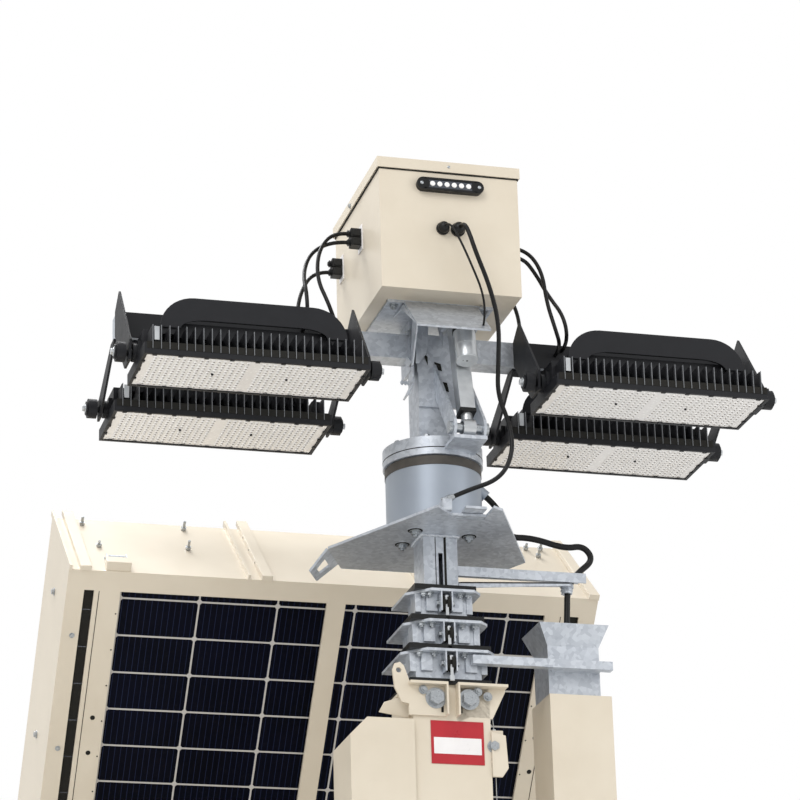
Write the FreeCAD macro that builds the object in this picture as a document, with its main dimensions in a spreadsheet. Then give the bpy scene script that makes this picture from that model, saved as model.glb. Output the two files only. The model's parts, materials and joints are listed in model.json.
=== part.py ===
import FreeCAD, Part
import math
import os
import re

# Mobile light tower, parked on its legs. Millimetres, +Z up, -Y towards the tow eye, +X to the right
# of somebody who looks from the tow eye to the tail. The origin is on the ground under the middle.

V = FreeCAD.Vector
doc = FreeCAD.newDocument("LightTower")
sheet = doc.addObject("Spreadsheet::Sheet", "Sizes")

sizes = (
    ("halfLong", 2000, "half of the overall length"),
    ("mastX", 140, "mast axis, right of the middle"),
    ("mastY", 300, "mast axis, behind the middle"),
    ("railX", 560, "centre of a side rail"),
    ("railWide", 60, "side rail width"),
    ("railTall", 100, "side rail height"),
    ("footThick", 8, "foot plate under the mast"),
    ("jockeyY", -1640, "jockey leg"),
    ("railBase", 430, "underside of the rails"),
    ("frameFront", -650, "front cross member"),
    ("towZ", 480, "height of the tow eye"),
    ("eyeHole", 38, "radius of the tow eye's hole"),
    ("axleY", 850, "wheel axis"),
    ("tyreR", 330, "tyre radius"),
    ("tyreWide", 195, "tyre width"),
    ("wheelX", 840, "middle plane of a wheel"),
    ("rimR", 196, "rim radius"),
    ("cabFront", 520, "front of the cabinet"),
    ("cabBack", 1900, "back of the cabinet"),
    ("cabHalf", 590, "half of the cabinet's width"),
    ("cabTop", 940, "roof of the cabinet"),
    ("sheetThick", 4, "cabinet sheet"),
    ("doorThick", 22, "folded cabinet door"),
    ("doorFront", 1300, "front edge of a side door"),
    ("doorLong", 540, "side door length"),
    ("outerWide", 172, "fixed mast tube, outside"),
    ("outerWall", 4, "fixed mast tube wall"),
    ("outerBase", 440, "foot of the fixed mast tube"),
    ("flangeTop", 1971, "top of the fixed mast tube's flange"),
    ("collarThick", 6, "collar plate"),
    ("padTall", 12, "wear pad height"),
    ("padPlay", 0.5, "running play between a pad and a section"),
    ("plateZ", 2326, "underside of the stay plate"),
    ("plateThick", 6, "stay plate"),
    ("drumR", 107, "slewing drum radius"),
    ("drumTop", 2490, "top of the slewing drum"),
    ("flangeR", 112, "turntable flange radius"),
    ("flangeTall", 44, "turntable flange height"),
    ("columnWide", 80, "square column"),
    ("armZ", 2776, "axis of the cross arm"),
    ("armTall", 58, "cross arm height"),
    ("armDeep", 50, "cross arm depth"),
    ("armHalf", 722, "half of the cross arm's length"),
    ("cheekX", 46, "inner face of a bracket cheek"),
    ("cheekThick", 8, "bracket cheek"),
    ("boxWide", 323, "control box width"),
    ("boxDeep", 400, "control box depth"),
    ("boxTall", 311, "control box height under the lid"),
    ("boxBase", 2843, "underside of the control box"),
    ("boxWall", 3, "control box sheet"),
    ("lidTall", 25, "lid skirt"),
    ("lidLip", 5, "lid overhang"),
    ("lightX", 459, "floodlight centre from the mast axis"),
    ("lightY", 174, "floodlight centre from the mast axis"),
    ("lightZ", 2612, "underside of a floodlight"),
    ("lensLong", 480, "lens plate length"),
    ("lensDeep", 181, "lens plate depth"),
    ("lensThick", 5, "lens plate thickness"),
    ("rimBand", 8, "rim round a lens plate"),
    ("rimTall", 26, "rim height"),
    ("finTall", 40, "cooling fin height"),
    ("finThick", 3, "cooling fin thickness"),
    ("finPitch", 18.4, "cooling fin pitch"),
    ("knobR", 22, "trunnion knob radius"),
    ("knobZ", 38, "trunnion above the underside of the lens"),
    ("yokeX", 262, "inner face of a yoke arm from the light's centre"),
    ("yokeThick", 5, "yoke plate"),
    ("actTopY", -105, "upper actuator pin, from the mast axis"),
    ("actTopZ", 2812, "upper actuator pin height"),
    ("actLowY", -170, "lower actuator pin, from the mast axis"),
    ("actLowZ", 2532, "lower actuator pin height"),
    ("actX", 34, "actuator centre, right of the mast axis"),
    ("arrayHalf", 625, "half of the solar array's width"),
    ("arrayLong", 1740, "length of the solar array down its slope"),
    ("arrayDeep", 320, "thickness of the solar array box"),
    ("arrayTilt", 50.3, "slope of the solar array, degrees"),
    ("arrayFront", 314, "upper edge of the array, behind the mast axis"),
    ("arraySeat", 37.3, "lower edge of the array above the cabinet"),
    ("moduleWide", 1134, "solar module width"),
    ("moduleThick", 30, "solar module frame"),
    ("postX", 298, "cable post centre from the mast axis"),
    ("postWide", 142, "cable post width"),
    ("postDeep", 130, "cable post depth"),
    ("postTop", 1966, "top of the cable post"),
    ("legX", 700, "stabiliser centre"),
    ("legY", 1560, "stabiliser centre, before and behind"),
)
for row, (alias, value, note) in enumerate(sizes, 1):
    sheet.set("A%d" % row, note)
    sheet.set("B%d" % row, str(value))
    sheet.setAlias("B%d" % row, alias)
doc.recompute()
known = {entry[0] for entry in sizes}
nodes = []


def link(text):
    return re.sub(r"[A-Za-z_]\w*", lambda m: "Sizes." + m.group(0) if m.group(0) in known else m.group(0), str(text))


def size(alias):
    return float(getattr(sheet, alias))


def place(obj, at, axis=None, angle=None):
    if axis:
        obj.Placement = FreeCAD.Placement(V(0, 0, 0), FreeCAD.Rotation(V(*axis), 10))
        obj.setExpression("Placement.Rotation.Angle", link(angle))
    for letter, value in zip("xyz", at):
        obj.setExpression("Placement.Base." + letter, link(value))
    return obj


def box(at, lengths, axis=None, angle=None):
    obj = doc.addObject("Part::Box", "Block")
    for prop, value in zip(("Length", "Width", "Height"), lengths):
        obj.setExpression(prop, link(value))
    return place(obj, at, axis, angle)


def rod(at, radius, length, along="z"):
    obj = doc.addObject("Part::Cylinder", "Rod")
    obj.setExpression("Radius", link(radius))
    obj.setExpression("Height", link(length))
    if along == "x":
        return place(obj, at, (0, 1, 0), "90")
    if along == "y":
        return place(obj, at, (-1, 0, 0), "90")
    return place(obj, at)


def cut(base, *tools):
    obj = doc.addObject("Part::Cut", "Cut")
    obj.Base = base
    obj.Tool = tools[0] if len(tools) == 1 else join(tools)
    return obj


def join(items, tidy=True):
    obj = doc.addObject("Part::MultiFuse", "Join")
    obj.Shapes = list(items)
    obj.Refine = tidy
    return obj


def node(name, obj):
    obj.Label = name
    nodes.append(obj)
    return obj


def plate(points, thick, at, plane="XY_Plane", holes=()):
    body = doc.addObject("PartDesign::Body", "Plate")
    sketch = body.newObject("Sketcher::SketchObject", "PlateSketch")
    base = [f for f in body.Origin.OriginFeatures if f.Role == plane][0]
    sketch.AttachmentSupport = [(base, "")]
    sketch.MapMode = "FlatFace"
    corners = [V(u, v, 0) for u, v in points]
    for start, end in zip(corners, corners[1:] + corners[:1]):
        sketch.addGeometry(Part.LineSegment(start, end), False)
    for u, v, r in holes:
        sketch.addGeometry(Part.Circle(V(u, v, 0), V(0, 0, 1), r), False)
    pad = body.newObject("PartDesign::Pad", "PlatePad")
    pad.Profile = sketch
    pad.setExpression("Length", link(thick))
    body.Tip = pad
    return place(body, at)


def turned(points, at, along="x"):
    body = doc.addObject("PartDesign::Body", "Turned")
    sketch = body.newObject("Sketcher::SketchObject", "TurnedSketch")
    base = [f for f in body.Origin.OriginFeatures if f.Role == "XZ_Plane"][0]
    sketch.AttachmentSupport = [(base, "")]
    sketch.MapMode = "FlatFace"
    corners = [V(r, a, 0) for r, a in points]
    for start, end in zip(corners, corners[1:] + corners[:1]):
        sketch.addGeometry(Part.LineSegment(start, end), False)
    spin = body.newObject("PartDesign::Revolution", "TurnedSpin")
    spin.Profile = sketch
    spin.ReferenceAxis = (sketch, ["V_Axis"])
    spin.Angle = 360
    body.Tip = spin
    if along == "x":
        return place(body, at, (0, 1, 0), "90")
    return place(body, at)


def shell(at, lengths, wall, opened=()):
    # A hollow box. opened names the sides without a wall, such as "top".
    inner_at = []
    inner = []
    for i, (low, high) in enumerate((("left", "right"), ("front", "back"), ("bottom", "top"))):
        a = "(%s) + %s" % (at[i], "-1" if low in opened else wall)
        n = (1 if low in opened else 0, 1 if high in opened else 0)
        span = "(%s) - %d*(%s) + %d" % (lengths[i], 2 - n[0] - n[1], wall, n[0] + n[1])
        inner_at.append(a)
        inner.append(span)
    return cut(box(at, lengths), box(inner_at, inner))


# Chassis: two rails, cross members, drawbar and the sleeves of the four legs
frame = []
for side in (-1, 1):
    frame.append(box(("%d*railX - railWide/2" % side, "frameFront", "railBase"),
                     ("railWide", "halfLong - 40 - frameFront", "railTall")))
    for end in (-1, 1):
        place_y = "frameFront + 60" if end < 0 else "halfLong - 110"
        frame.append(cut(box(("%d*legX - 45" % side, place_y + " - 45", "railBase - 60"), (90, 90, 420)),
                         box(("%d*legX - 32.5" % side, place_y + " - 32.5", "railBase - 70"), (65, 65, 440))))
        frame.append(box(("%d*(railX + railWide/2) - %d" % (side, 0 if side > 0 else 65), place_y + " - 30", "railBase"),
                         (65, 60, "railTall")))
for y in ("frameFront", "mastY - 140", "mastY + 80", "axleY - 40", "halfLong - 100"):
    frame.append(box(("-railX", y, "railBase"), ("2*railX", 60, "railTall")))
frame.append(box((-50, "-halfLong + 240", "railBase"), (100, "frameFront + halfLong - 240", "railTall")))
swing = "atan((railX*0.93 - 25)/(halfLong + frameFront - 390))"
for side in (-1, 1):
    shift = 1 if side > 0 else 0
    frame.append(box(("%d*railX*0.93 + %d*50*cos(%s)" % (side, shift, swing),
                      "frameFront + 20 - %d*50*sin(%s)" % (shift, swing), "railBase + 10"),
                     (50, "(halfLong + frameFront - 390)/cos(%s)" % swing, "railTall - 20"),
                     (0, 0, 1), "180 deg + %d*%s" % (-side, swing)))
frame.append(cut(join([rod((130, "jockeyY", 450), 33, 130), box((40, "jockeyY - 35", 455), (70, 70, 60))]),
                 rod((130, "jockeyY", 440), 24.4, 160)))
frame.append(box(("mastX - 240", "mastY - 140", "railBase + railTall"), (645, 280, "footThick")))
node("chassis", join(frame))

# Tow eye
eye = cut(join([rod((0, "-halfLong + 75", "towZ - 21"), 75, 42), box((-32, "-halfLong + 100", "towZ - 21"), (64, 140, 42)),
                box((-60, "-halfLong + 232", "towZ - 50"), (120, 8, 100))]),
          rod((0, "-halfLong + 75", "towZ - 40"), "eyeHole", 80))
node("tow_eye", eye)

# Axle beam with two leaf springs
axle = [rod(("-wheelX + 60", "axleY", "tyreR"), 32, "2*wheelX - 120", "x")]
for side in (-1, 1):
    axle.append(rod(("%d*wheelX - 95" % side, "axleY", "tyreR"), 20, 190, "x"))
    axle.append(box(("%d*railX - 30" % side, "axleY - 310", "tyreR + 30"), (60, 620, 24)))
    axle.append(box(("%d*railX - 30" % side, "axleY - 190", "tyreR + 15"), (60, 380, 16)))
    for end in (-1, 1):
        axle.append(box(("%d*railX - 22" % side, "axleY + %d*295 - 22" % end, "tyreR + 50"), (44, 44, "railBase - tyreR - 50")))
node("axle", join(axle))

for side, name in ((-1, "left"), (1, "right")):
    tyre = turned(((196, -71), (207, -80), (207, -96), (300, -97), (330, -64), (330, 64), (300, 97), (207, 96),
                   (207, 80), (196, 71)), ("%d*wheelX" % side, "axleY", "tyreR"))
    node("tyre_" + name, tyre)
    rim = turned(((20.08, -14), (70, -14), (110, -34), (165, -34), (178, -84), (205, -84), (196, -74), (196, 74),
                  (205, 84), (186, 84), (180, -20), (20.08, -2)), ("%d*wheelX" % side, "axleY", "tyreR"))
    node("rim_" + name, rim)

# Mudguards: an arc of sheet over each wheel
guards = []
for side in (-1, 1):
    ring = cut(rod(("%d*(wheelX - 0) - 110" % side, "axleY", "tyreR"), "tyreR + 74", 220, "x"),
               rod(("%d*wheelX - 130" % side, "axleY", "tyreR"), "tyreR + 70", 260, "x"),
               box(("%d*wheelX - 130" % side, "axleY - 500", "tyreR - 600"), (260, 1000, 640)))
    guards.append(ring)
    for end in (-1, 1):
        x = "railX + railWide/2" if side > 0 else "-railX - railWide/2 - 170"
        guards.append(box((x, "axleY + %d*385 - 20" % end, "railBase + 20"), (170, 40, 8)))
node("mudguards", join(guards))

# Cabinet over the rails, open where its two doors hang
cab_at = ("-cabHalf", "cabFront", "railBase + railTall")
cab_len = ("2*cabHalf", "cabBack - cabFront", "cabTop - railBase - railTall")
cab = shell(cab_at, cab_len, "sheetThick")
holes = []
for side in (-1, 1):
    holes.append(box(("%d*cabHalf - 50" % side, "doorFront + 20", "railBase + railTall + 50"),
                     (100, "doorLong - 40", "cabTop - railBase - railTall - 100")))
node("cabinet", cut(cab, *holes))
for side, name in ((-1, "left"), (1, "right")):
    x = "-cabHalf - doorThick - 0.5" if side < 0 else "cabHalf + 0.5"
    leaf = box((x, "doorFront", "railBase + railTall + 30"), ("doorThick", "doorLong", "cabTop - railBase - railTall - 60"))
    barrel = rod(("%d*(cabHalf + doorThick + 0.5)" % side, "doorFront", "railBase + railTall + 30"), 8,
                 "cabTop - railBase - railTall - 60")
    node("door_" + name, join([leaf, barrel]))
node("battery_block", box((-380, "cabFront + 260", "railBase + railTall + sheetThick"), (760, 800, 260)))

# Mast: a fixed tube and four sections, each inside the one before
node("mast_tube", join([
    shell(("mastX - outerWide/2", "mastY - outerWide/2", "outerBase + 98"),
          ("outerWide", "outerWide", "flangeTop - outerBase - 98 - collarThick"), "outerWall", ("top", "bottom")),
    cut(box(("mastX - 96", "mastY - 110", "flangeTop - collarThick"), (218, 210, "collarThick")),
        box(("mastX - 82", "mastY - 82", "flangeTop - 20"), (164, 164, 40)),
        box(("mastX - 12", "mastY - 120", "flangeTop - 20"), (22, 36, 40))),
    box(("mastX - 16", "mastY - 110", "flangeTop - 72"), (4, "110 - outerWide/2 + 1", "72 - collarThick")),
    box(("mastX + 10", "mastY - 110", "flangeTop - 72"), (4, "110 - outerWide/2 + 1", "72 - collarThick")),
    box(("mastX - 96", "mastY - 92", "flangeTop - 72"), (80, "93 - outerWide/2", "72 - collarThick")),
    plate(((-96, -6), (-96, -48), (-112, -44), (-127, -12), (-131, 26), (-126, 40), (-114, 44), (-105, 36), (-92, -2)), 6,
          ("mastX", "mastY - 86", "flangeTop"), "XZ_Plane", ((-117, 26, 6),)),
    box(("mastX + outerWide/2 - 1", "mastY - 78", "flangeTop - 155"), (31, 8, 60))]))
sections = (
    ("mast_section_1", 148, 3, 560, 2042, 204),
    ("mast_section_2", 126, 3, 575, 2111, 184),
    ("mast_section_3", 104, 3, 590, 2184, 164),
    ("mast_section_4", 78, 4, 605, 2326, 0),
)
for name, wide, wall, low, top, collar in sections:
    half = wide / 2
    tube = shell(("mastX - %g" % half, "mastY - %g" % half, low), (wide, wide, top - low if collar else "plateZ - %g" % low),
                 wall, ("top", "bottom"))
    if collar:
        inside = wide - 2 * wall
        edge = collar / 2
        outline = ((edge - 20, -edge), (edge, 22 - edge), (edge, edge), (-edge, edge), (-edge, 48 - edge), (48 - edge, -edge))
        ring = cut(plate(outline, "collarThick", ("mastX", "mastY", top)),
                   box(("mastX - %g" % (inside / 2), "mastY - %g" % (inside / 2), top - 5), (inside, inside, 20)))
        parts = [tube, ring]
        for x in (-14, 10):
            parts.append(box(("mastX + %d" % x, "mastY - %g" % edge, top - 44), (3, edge - half + 1, 45)))
        node(name, join(parts))
    else:
        slotted = cut(tube, box(("mastX - 5", "mastY - 60", low - 1), (10, 120, "plateZ - %g - 40" % low)))
        guide = cut(join([box(("mastX + %g" % half, "mastY - 40", "plateZ - 75"), (335 - half, 60, 6)),
                          box(("mastX + %g" % half, "mastY - 40", "plateZ - 91"), (335 - half, 4, 20))]),
                    box(("mastX + 280", "mastY - 32", "plateZ - 80"), (48, 44, 20)))
        node(name, join([slotted, guide]))
rings = (
    ("pads_0", "flangeTop", 182, 148),
    ("pads_1", "2042 + collarThick", 184, 126),
    ("pads_2", "2111 + collarThick", 164, 104),
    ("pads_3", "2184 + collarThick", 140, 78),
)
for name, z, wide, inner in rings:
    node(name, cut(box(("mastX - %g" % (wide / 2), "mastY - %g" % (wide / 2), z), (wide, wide, "padTall")),
                   box(("mastX - %g - padPlay" % (inner / 2), "mastY - %g - padPlay" % (inner / 2), z + " - 1"),
                       ("%g + 2*padPlay" % inner, "%g + 2*padPlay" % inner, "padTall + 2"))))

# Winch hood, cable post and the funnel that the main cable drops into
hood = plate(((-228, 538), (-86, 538), (-86, 1889), (-190, 1889), (-228, 1850)), 150, ("mastX", "mastY + 75 - 20", 0), "XZ_Plane")
node("winch_hood", hood)
node("cable_post", cut(shell(("mastX + postX - postWide/2", "mastY - 10 - postDeep/2", "railBase + railTall + footThick"),
                             ("postWide", "postDeep", "postTop - railBase - railTall - footThick"), 3),
                       box(("mastX + postX - 8 - 54", "mastY - 10 - 45", "postTop - 20"), (108, 90, 40))))
funnel = doc.addObject("Part::Feature", "Funnel")


def frustum(low_half, high_half, low_z, high_z, x, y):
    def ring(hx, hy, z):
        pts = [V(x - hx, y - hy, z), V(x + hx, y - hy, z), V(x + hx, y + hy, z), V(x - hx, y + hy, z)]
        return Part.makePolygon(pts + pts[:1])
    return Part.makeLoft([ring(low_half[0], low_half[1], low_z), ring(high_half[0], high_half[1], high_z)], True, True)


fx = size("mastX") + size("postX") - 8
fy = size("mastY") - 10
fz = size("postTop")
funnel.Shape = Part.makeBox(118, 100, 113, V(fx - 59, fy - 50, fz)).fuse(
    frustum((59, 50), (80, 66), fz + 113, fz + 162, fx, fy)).cut(
    Part.makeBox(112, 94, 160, V(fx - 56, fy - 47, fz - 10))).cut(
    frustum((56, 47), (77, 63), fz + 113, fz + 163, fx, fy))
guard = box(("mastX + 47", "mastY - 104", 2017), (318, 20, 19))
spacer = box(("mastX + postX - 62", "mastY - 84", 2019), (108, 24, 15))
node("cable_funnel", join([funnel, guard, spacer]))

# Stay plate, slewing drum and the turning column
tab = doc.addObject("Part::Feature", "StayTab")


def leaf_sheet(corners, thick):
    # A flat sheet from its corners in the order of its outline, made thick along its own normal
    normal = (corners[1] - corners[0]).cross(corners[2] - corners[1]).normalize()
    return Part.Face(Part.makePolygon(list(corners) + [corners[0]])).extrude(normal * thick)


tip = V(size("mastX") - 220, size("mastY") + 100, size("plateZ"))
side_run = V(63, 130, 0).normalize()
fall = V(-0.66, 0.32, -0.68)
window = [tip + side_run * u + fall * v for u, v in ((30, 18), (82, 18), (72, 46), (40, 46))]
tab.Shape = leaf_sheet([tip + side_run * u + fall * v for u, v in ((0, 0), (112, 0), (92, 62), (22, 62))], 5).cut(
    leaf_sheet([p + fall.cross(side_run) * 12 for p in window], 30)).cut(
    leaf_sheet([p - fall.cross(side_run) * 12 for p in window], 30))
node("stay_plate", join([
    plate(((-220, 100), (-55, -222), (6, -154), (66, -159), (66, -238), (90, -222), (244, 112), (200, 205), (23, 230),
           (-157, 230)), "plateThick", ("mastX", "mastY", "plateZ")),
    box(("mastX - 36", "mastY - 196", "plateZ + plateThick - 1"), (20, 28, 25)),
    tab]))
gland = place(doc.addObject("Part::Cylinder", "DrumGland"), ("mastX + drumR - 12", "mastY - 12", 2452), (0, 1, 0), "130")
gland.Radius = 13
gland.Height = 30
node("slew_drum", join([rod(("mastX", "mastY", "plateZ + plateThick"), "drumR", "drumTop - plateZ - plateThick"), gland]))
column = [rod(("mastX", "mastY", "drumTop + 2"), "flangeR", "flangeTall - 2"),
          rod(("mastX", "mastY", "drumTop"), "drumR - 14", 3),
          box(("mastX - columnWide/2", "mastY - columnWide/2", "drumTop + flangeTall"),
              ("columnWide", "columnWide", "armZ + 26 - drumTop - flangeTall")),
          rod(("mastX - 53.5", "mastY", "armZ"), 14, 107, "x"),
          box(("mastX - columnWide/2", "mastY - columnWide/2 - 6", "armZ - 150"), ("columnWide + 32", 7, 82)),
          box(("mastX + actX - 38", "mastY - 190", "actLowZ - 30"), (76, 120, 8))]
for side in (-1, 1):
    lug = plate(((-38, 203), (-188.7, 15), (-193.9, -2.6), (-185, -18.7), (-185, -28), (-151.3, -28), (-151.3, -15), (-38, 127)),
                6, ("mastX + actX + %d*34 - 3" % side, "mastY", "actLowZ"), "YZ_Plane")
    column.append(lug)
column.append(rod(("mastX + actX - 40", "mastY + actLowY", "actLowZ"), 8, 80, "x"))
node("turntable", join(column))

# Tilting head: cheeks on the column's pin, cross arm halves, skirt under the box
awning = doc.addObject("Part::Feature", "Awning")
top_edge = V(size("mastX") - 92, size("mastY") - 130, size("boxBase") - 1)
awning.Shape = leaf_sheet([top_edge, top_edge + V(170, 0, 0), top_edge + V(170, -100, -95), top_edge + V(0, -100, -95)], 5)
head = [box(("mastX - 130", "mastY - 131", "boxBase - 6"), (245, 262, 6)), awning]
for side in (-1, 1):
    x = "mastX + cheekX" if side > 0 else "mastX - cheekX - cheekThick"
    head.append(cut(box((x, "mastY - 33", "armZ - 60"), ("cheekThick", 78, "boxBase - 6 - armZ + 60")),
                    rod(("mastX - 80", "mastY", "armZ"), 14.1, 160, "x")))
    x = "mastX + cheekX + cheekThick" if side > 0 else "mastX - armHalf"
    head.append(box((x, "mastY - armDeep/2", "armZ - armTall/2"), ("armHalf - cheekX - cheekThick", "armDeep", "armTall")))
    head.append(box(("mastX + actX + %d*26 - 4" % side, "mastY + actTopY - 22", "actTopZ - 18"),
                    (8, 44, "boxBase - 6 - actTopZ + 18")))
head.append(rod(("mastX + actX - 34", "mastY + actTopY", "actTopZ"), 8, 68, "x"))
node("cross_arm", join(head))

node("control_box", shell(("mastX - boxWide/2", "mastY - boxDeep/2", "boxBase"), ("boxWide", "boxDeep", "boxTall"),
                          "boxWall", ("top",)))
node("box_lid", shell(("mastX - boxWide/2 - lidLip", "mastY - boxDeep/2 - lidLip", "boxBase + boxTall - lidTall + boxWall"),
                      ("boxWide + 2*lidLip", "boxDeep + 2*lidLip", "lidTall"), "boxWall", ("bottom",)))
# Tilt actuator: its tube hangs from the head, its rod's eye is on the column's lower pin
lean = math.degrees(math.atan2(size("actTopY") - size("actLowY"), size("actTopZ") - size("actLowZ")))


def actuator(obj):
    obj.Placement = FreeCAD.Placement(V(size("mastX") + size("actX"), size("mastY") + size("actTopY"), size("actTopZ")),
                                      FreeCAD.Rotation(V(1, 0, 0), -lean))
    return obj


span = math.hypot(size("actTopY") - size("actLowY"), size("actTopZ") - size("actLowZ"))
tube = doc.addObject("Part::Feature", "ActuatorTube")
tube.Shape = Part.makeBox(34, 34, 228, V(-17, -17, -244)).cut(Part.makeBox(26, 26, 212, V(-13, -13, -250))).fuse(
    [Part.makeCylinder(16, 28, V(-14, 0, 0), V(1, 0, 0)), Part.makeBox(24, 20, 22, V(-12, -10, -22)),
     Part.makeCylinder(25, 78, V(0, -46, -136)), Part.makeBox(30, 26, 26, V(-15, -42, -90))]).cut(
    Part.makeCylinder(8.06, 40, V(-20, 0, 0), V(1, 0, 0)))
node("actuator_tube", actuator(tube))
piston = doc.addObject("Part::Feature", "ActuatorRod")
piston.Shape = Part.makeCylinder(12.5, span - 60, V(0, 0, -span + 17)).fuse(
    [Part.makeCylinder(20, 28, V(-14, 0, -span), V(1, 0, 0))]).cut(
    Part.makeCylinder(15.2, 40, V(-20, 0, -span), V(1, 0, 0)))
node("actuator_rod", actuator(piston))

# Four floodlights from one table: name, side, row
outer_bend = [(135 + 70 * math.cos(math.radians(a)), 4 + 70 * math.sin(math.radians(a))) for a in (90, 68, 45, 22, 0)]
inner_bend = [(122 + 52 * math.cos(math.radians(a)), 38 * math.sin(math.radians(a))) for a in (0, 30, 60, 90)]
half_arch = outer_bend + [(205, 0)] + inner_bend
arch_line = half_arch + [(-x, z) for x, z in reversed(half_arch)]
lights = (("front_left", -1, -1), ("front_right", 1, -1), ("rear_left", -1, 1), ("rear_right", 1, 1))
for name, sx, sy in lights:
    cx = "mastX + %d*lightX" % sx
    cy = "mastY + %d*lightY" % sy
    fins = []
    rest = []
    tray = cut(box((cx + " - lensLong/2 - rimBand", cy + " - lensDeep/2 - rimBand", "lightZ"),
                   ("lensLong + 2*rimBand", "lensDeep + 2*rimBand", "rimTall")),
               box((cx + " - lensLong/2 - 1", cy + " - lensDeep/2 - 1", "lightZ - 10"),
                   ("lensLong + 2", "lensDeep + 2", "lensThick + 12")))
    fins.append(tray)
    for i in range(26):
        step = (i - 12.5) * 1.0
        fins.append(box((cx + " + %g*finPitch - finThick/2" % step, cy + " - lensDeep/2 - 4", "lightZ + rimTall - 1"),
                        ("finThick", "lensDeep + 8", "finTall + 1")))
    rest.append(box((cx + " - 200", cy + " - 46", "lightZ + rimTall + finTall - 4"), (400, 92, 34)))
    arch = plate(arch_line, 8, (cx, cy + " - 50", "lightZ + rimTall + finTall - 2"), "XZ_Plane")
    rest.append(arch)
    for end in (-1, 1):
        rest.append(rod((cx + (" + lensLong/2 + rimBand" if end > 0 else " - lensLong/2 - rimBand - 9"), cy, "lightZ + knobZ"),
                        20, 9, "x"))
        rest.append(rod((cx + (" + lensLong/2 + rimBand" if end > 0 else " - yokeX - 12"), cy, "lightZ + knobZ"), 8,
                        "yokeX + 12 - lensLong/2 - rimBand", "x"))
        rest.append(rod((cx + (" + yokeX + 10" if end > 0 else " - yokeX - 30"), cy, "lightZ + knobZ"), "knobR", 20, "x"))
        rest.append(box((cx + (" + lensLong/2" if end > 0 else " - lensLong/2 - 8"), cy + " - 24", "lightZ"),
                        (8, 48, "knobZ + 20")))
    node("light_" + name, join([join(fins)] + rest, False))
    node("lens_" + name, box((cx + " - lensLong/2", cy + " - lensDeep/2", "lightZ + 2"), ("lensLong", "lensDeep", "lensThick")))
yokes = []
for name, sx, sy in lights:
    cx = "mastX + %d*lightX" % sx
    for end in (-1, 1):
        x = cx + (" + yokeX" if end > 0 else " - yokeX - yokeThick")
        if sy < 0:
            side_plate = plate(((-25, 29), (-25, -29), (-140, -150), (-196, -150), (-200, -104), (-70, 60)), "yokeThick",
                               (x, "mastY", "armZ"), "YZ_Plane", ((-174, -126, 9),))
        else:
            side_plate = plate(((-12, -29), (-12, -36), (158, -150), (190, -150), (190, -104), (170, -104), (25, -29)),
                               "yokeThick", (x, "mastY", "armZ"), "YZ_Plane", ((174, -126, 9),))
        yokes.append(side_plate)
    if sy < 0:
        yokes.append(box((cx + " - yokeX - yokeThick", "mastY - 30", "armZ - 29"), ("2*yokeX + 2*yokeThick", "yokeThick", 58)))
    else:
        yokes.append(box((cx + " - yokeX - yokeThick", "mastY - 12", "armZ - armTall/2 - 5"), ("2*yokeX + 2*yokeThick", 37, 5)))
node("light_yokes", join(yokes))

# Solar array box on its slope: u across, v down the slope, w away from the underside
tilt_axis = (-1, 0, 0)


def sloped(obj):
    return place(obj, (0, "mastY + arrayFront", "cabTop + arraySeat + sin(arrayTilt)*arrayLong"), tilt_axis, "arrayTilt")


array = [box(("-arrayHalf", 0, 0), ("2*arrayHalf", 4, "arrayDeep")),
         box(("-arrayHalf", 0, 0), ("2*arrayHalf", 48, 40)),
         box(("-arrayHalf", "arrayLong - 48", 0), ("2*arrayHalf", 48, 40)),
         box(("-arrayHalf", "arrayLong - 4", 0), ("2*arrayHalf", 4, "arrayDeep")),
         box((-22, 0, 0), (44, "arrayLong", 8)),
         box((-562, 0, 0), (60, "arrayLong", 8)),
         box((502, 0, 0), (60, "arrayLong", 8))]
for side in (-1, 1):
    array.append(box(("%d*arrayHalf - %d" % (side, 4 if side > 0 else 0), 0, 0), (4, "arrayLong", "arrayDeep")))
    array.append(box(("%d*arrayHalf - %d" % (side, 40 if side > 0 else 0), 0, 0), (40, "arrayLong", 40)))
for u in (-625, -215, 209, 619):
    array.append(box((u, -12, -4), (6, 14, "arrayDeep + 24")))
array_body = sloped(join(array))
hinge_y = "mastY + arrayFront + cos(arrayTilt)*arrayLong - 6"
hinge_z = "cabTop + arraySeat - 16"
knuckles = []
for side in (-1, 1):
    knuckles.append(rod(("%d*440 - 46" % side, hinge_y, hinge_z), 8, 92, "x"))
    for end in (-1, 1):
        knuckles.append(box(("%d*440 + %d*38 - 6" % (side, end), hinge_y + " - 12", hinge_z + " - 10"), (12, 26, 56)))
node("array_frame", join([array_body] + knuckles))
modules = [box(("-moduleWide/2", 48, 10), ("moduleWide", "arrayLong - 96", "moduleThick")),
           box(("-arrayHalf + 4", 4, "arrayDeep - moduleThick"), ("2*arrayHalf - 8", "arrayLong - 8", "moduleThick"))]
node("solar_modules", sloped(join(modules)))

# Stand under the array: two posts that it rests on, and the hinge at its lower edge
stand = []
above = sloped(join([box((-1000, -100, 0), (2000, 2200, 900)), box((-1000, -100, 880), (2000, 2200, 40))]))
for side in (-1, 1):
    stand.append(box(("%d*532 - 30" % side, "cabFront + 540", "cabTop"), (60, 60, 1050)))
    stand.append(box(("%d*532 - 30" % side, "cabFront + 440", "cabTop"), (60, 260, 8)))
stand = [cut(join(stand), above)]
for side in (-1, 1):
    stand.append(box(("%d*440 - 30" % side, "cabBack - 220", "cabTop"), (60, hinge_y + " + 22 - cabBack + 220", 6)))
    stand.append(cut(box(("%d*440 - 30" % side, hinge_y + " - 22", "cabTop"), (60, 44, hinge_z + " + 11 - cabTop")),
                     rod(("%d*440 - 40" % side, hinge_y, hinge_z), 8.2, 80, "x")))
node("array_stand", join(stand))

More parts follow.
